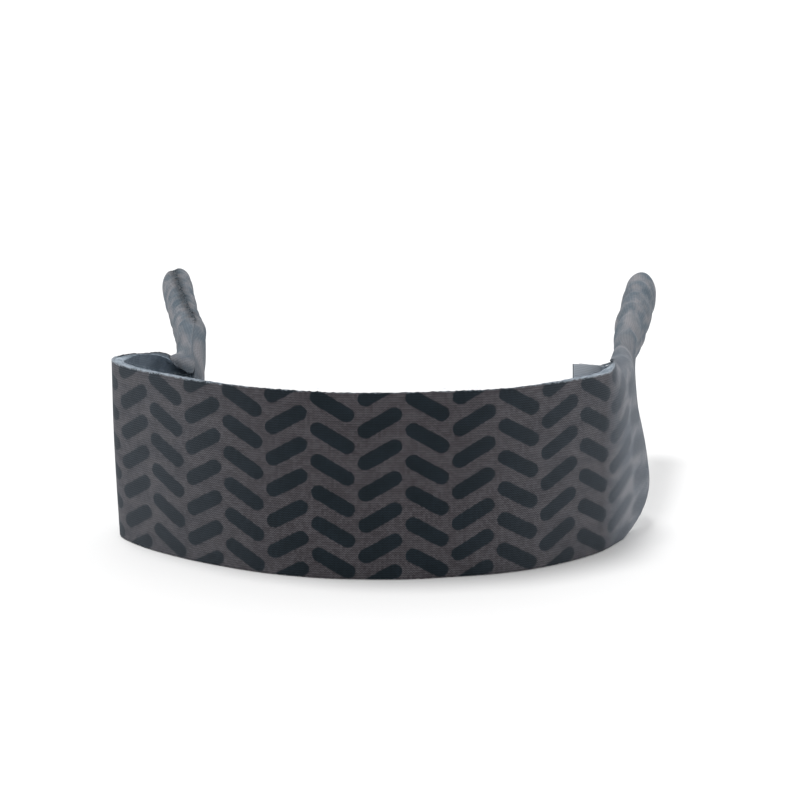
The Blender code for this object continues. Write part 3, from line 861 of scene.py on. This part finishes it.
def stitch_points(from_s, to_s):
    """The path of the thread in a seam's groove: it dips at every hole and crosses between holes."""
    path = []
    for k in range(int((to_s - from_s) / STITCH_PITCH)):
        s = from_s + k * STITCH_PITCH
        path.append(seam_point(s, STITCH_HALF_SPAN if k % 2 else -STITCH_HALF_SPAN, -STITCH_DIP))
        path.append(seam_point(s + 0.5 * STITCH_PITCH, 0.0, STITCH_LIFT))
    return np.array(path)


def thread_piece(name, path):
    """A thread swept along a path in millimetres."""
    along = arc_length(path)
    places = np.linspace(0.0, along[-1], max(int(along[-1] / THREAD_STEP), 8))
    fine = spline(along, path, places)
    forward = unit(np.gradient(fine, axis=0))
    side = unit(np.cross(forward, np.array([0.31, 0.12, 0.94])))
    up = np.cross(forward, side)
    turns = np.linspace(0.0, TURN, THREAD_SIDES + 1)[:-1]
    spokes = (np.cos(turns)[None, :, None] * side[:, None, :]
              + np.sin(turns)[None, :, None] * up[:, None, :])
    rings = fine[:, None, :] + THREAD_RADIUS * spokes
    count, sides = rings.shape[:2]
    faces = []
    for i in range(count - 1):
        for j in range(sides):
            a, b = i * sides + j, i * sides + (j + 1) % sides
            faces.append((a, b, b + sides, a + sides))
    faces.append(tuple(range(sides))[::-1])
    faces.append(tuple((count - 1) * sides + j for j in range(sides)))
    piece = new_piece(name, rings.reshape(-1, 3), faces, THREAD)
    flat = np.column_stack([np.repeat(places, sides), np.tile(np.arange(sides) / sides, count)])
    put_cloth_map(piece.data, flat)
    return piece


def fuzz_piece(name, start, end, seed):
    """Short pale fibres that stand out of the strap's raw upper edge between two places."""
    rng = np.random.default_rng(seed)
    count = int((end - start) * FUZZ_PER_MM)
    along = np.sort(rng.uniform(start, end, count))
    share = rng.choice(FUZZ_DEPTHS, count)
    roots = np.empty((count, 3))
    inward = np.empty((count, 3))
    out = strap.facing(along, np.array([1.0]))[:, 0]
    for value in np.unique(share):
        chosen = share == value
        skin = strap.depth(along[chosen], np.array([1.0, 0.97]), value)
        roots[chosen] = skin[:, 0]
        inward[chosen] = unit(skin[:, 0] - skin[:, 1])
    keep = rng.uniform(0.0, 1.0, count) < 1.0 - sewn_share(along)
    lean = rng.normal(0.0, 0.55, (count, 3)) + out * ((0.5 - share) * 1.5)[:, None]
    growth = unit(inward + lean) * (FUZZ_LENGTH * rng.uniform(0.4, 1.25, count))[:, None]
    bend = rng.normal(0.0, 0.25, (count, 3)) * FUZZ_LENGTH
    side = unit(np.cross(growth, rng.normal(0.0, 1.0, (count, 3)))) * FUZZ_RADIUS
    tip = roots + growth
    tip[:, 2] = np.maximum(tip[:, 2], 0.01)
    half = roots + 0.55 * growth + 0.35 * bend
    half[:, 2] = np.maximum(half[:, 2], 0.01)
    roots = roots - 0.08 * unit(growth)
    roots[:, 2] = np.maximum(roots[:, 2], 0.005)
    other = unit(np.cross(growth, side)) * FUZZ_RADIUS
    corners = [side, 0.87 * other - 0.5 * side, -0.87 * other - 0.5 * side]
    ring = [roots + corner for corner in corners] + [half + 0.8 * corner for corner in corners]
    fibres = np.stack([*ring, tip], axis=1)[keep]
    first = 7 * np.arange(len(fibres))
    faces = np.column_stack([first + 2, first + 1, first]).tolist()
    for k in range(3):
        after = (k + 1) % 3
        faces += np.column_stack([first + k, first + after, first + 3 + after, first + 3 + k]).tolist()
        faces += np.column_stack([first + 3 + k, first + 3 + after, first + 6]).tolist()
    piece = new_piece(name, fibres.reshape(-1, 3), faces, FIBRE)
    return piece


def laminate_sewn(laminate, along):
    """How far a laminate's two edges are sewn together at each place, which is nowhere on the flap."""
    return laminate.sewn(along) if laminate.sewn is not None else 0.0 * along


# ---------------------------------------------------------------- the pieces
def mm_point(x, y, z):
    return (x * MM, y * MM, z * MM)


SPANS = {
    "left_end": (0.0, LEFT_CUT, 0.5, ("left_sleeve", "left_shoulder")),
    "left_side": (LEFT_CUT, LEFT_TURN, 0.6, ("left_shoulder", "band")),
    "band_centre": (LEFT_TURN, RIGHT_TURN, 0.6, ("band",)),
    "right_side": (RIGHT_TURN, RIGHT_CUT, 0.6, ("band", "right_shoulder")),
    "right_end": (RIGHT_CUT, LENGTH, 0.5, ("right_shoulder", "right_sleeve")),
}
BENDS = {
    "left_end": ("left_shoulder", "left_sleeve",
                 mm_point(-52.75, -4.27, 43.04), mm_point(-54.11, 3.59, 43.84)),
    "left_side": ("band", "left_shoulder", mm_point(-51.1, -38.5, 22.0), mm_point(-66.1, -25.5, 22.0)),
    "right_side": ("band", "right_shoulder", mm_point(39.4, -39.5, 22.0), mm_point(53.4, -26.0, 22.0)),
    "right_end": ("right_shoulder", "right_sleeve",
                  mm_point(56.33, 3.03, 41.44), mm_point(58.33, 10.65, 42.78)),
}


def carry(piece, span):
    """Bake a piece's transform if its span is listed in BENDS, and otherwise make it move with the band's body.
    """
    if span in BENDS:
        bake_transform(piece)
    else:
        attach(piece, "band")


for span, (start, end, step, lengths) in SPANS.items():
    for ply in PLIES:
        fine = step if ply == "printed_face" else step * 1.5
        piece = ply_piece(f"{span}_{ply}", strap, ply, start, end, fine)
        carry(piece, span)
        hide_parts(*[f"{length}_{ply}" for length in lengths])
    fuzz_start, fuzz_end = max(start, LEFT_FOLD - 2.0), min(end, RIGHT_FOLD + 9.0)
    if fuzz_start < fuzz_end:
        fuzz = fuzz_piece(f"{span}_edge_fuzz", fuzz_start, fuzz_end, FUZZ_SEED + len(span))
        carry(fuzz, span)

for ply in PLIES:
    piece = ply_piece(f"right_lip_{ply}_cloth", lip, ply, 0.0, lip.knots[-1], 0.55)
    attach(piece, "right_shoulder")
    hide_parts(f"right_lip_{ply}")

left_thread = thread_piece("left_seam_stitches", stitch_points(0.8, LEFT_NECK - 1.0))
carry(left_thread, "left_end")
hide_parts("left_sleeve_seam_thread")
right_thread = thread_piece("right_seam_stitches", stitch_points(RIGHT_NECK + 1.0, LENGTH - 0.8))
carry(right_thread, "right_end")
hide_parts("right_sleeve_seam_thread")

# ---------------------------------------------------------------- table, light and camera
TABLE_REACH = 40.0
TABLE_DROP = 0.0002
STUDIO_STRENGTH = 0.77
KEY_STRENGTH = 1.60
KEY_SPREAD = 17.0
KEY_FROM = Vector((-0.16, 0.08, 1.0))
CAMERA_PLACE = (-0.0009, -0.4180, 0.1393)
CAMERA_TILT = 14.91
CAMERA_LENS = 76.5

floor_mesh = bpy.data.meshes.new("table_top")
corners = [(x * TABLE_REACH, y * TABLE_REACH, 0.0) for x, y in ((-1, -1), (1, -1), (1, 1), (-1, 1))]
floor_mesh.from_pydata(corners, [], [(0, 1, 2, 3)])
floor = bpy.data.objects.new("table_top", floor_mesh)
bpy.context.scene.collection.objects.link(floor)
floor.location.z = -TABLE_DROP
table = Graph("table_paper", 0.7)
table.shader.inputs["Base Color"].default_value = (0.9, 0.9, 0.9, 1.0)
floor_mesh.materials.append(table.material)

world = bpy.data.worlds.new("studio")
bpy.context.scene.world = world
world.use_nodes = True
world.node_tree.nodes["Background"].inputs["Color"].default_value = (1.0, 1.0, 1.0, 1.0)
world.node_tree.nodes["Background"].inputs["Strength"].default_value = STUDIO_STRENGTH

sun_data = bpy.data.lights.new("key", "SUN")
sun_data.energy = KEY_STRENGTH
sun_data.angle = math.radians(KEY_SPREAD)
sun = bpy.data.objects.new("key", sun_data)
bpy.context.scene.collection.objects.link(sun)
sun.rotation_euler = (-KEY_FROM).to_track_quat("-Z", "Y").to_euler()

camera_data = bpy.data.cameras.new("camera")
camera_data.sensor_width = 36.0
camera_data.lens = CAMERA_LENS
camera_data.clip_start = 0.01
camera = bpy.data.objects.new("camera", camera_data)
bpy.context.scene.collection.objects.link(camera)
camera.location = CAMERA_PLACE
camera.rotation_euler = (math.radians(90.0 - CAMERA_TILT), 0.0, 0.0)
bpy.context.scene.camera = camera
bpy.context.scene.view_settings.view_transform = "Standard"
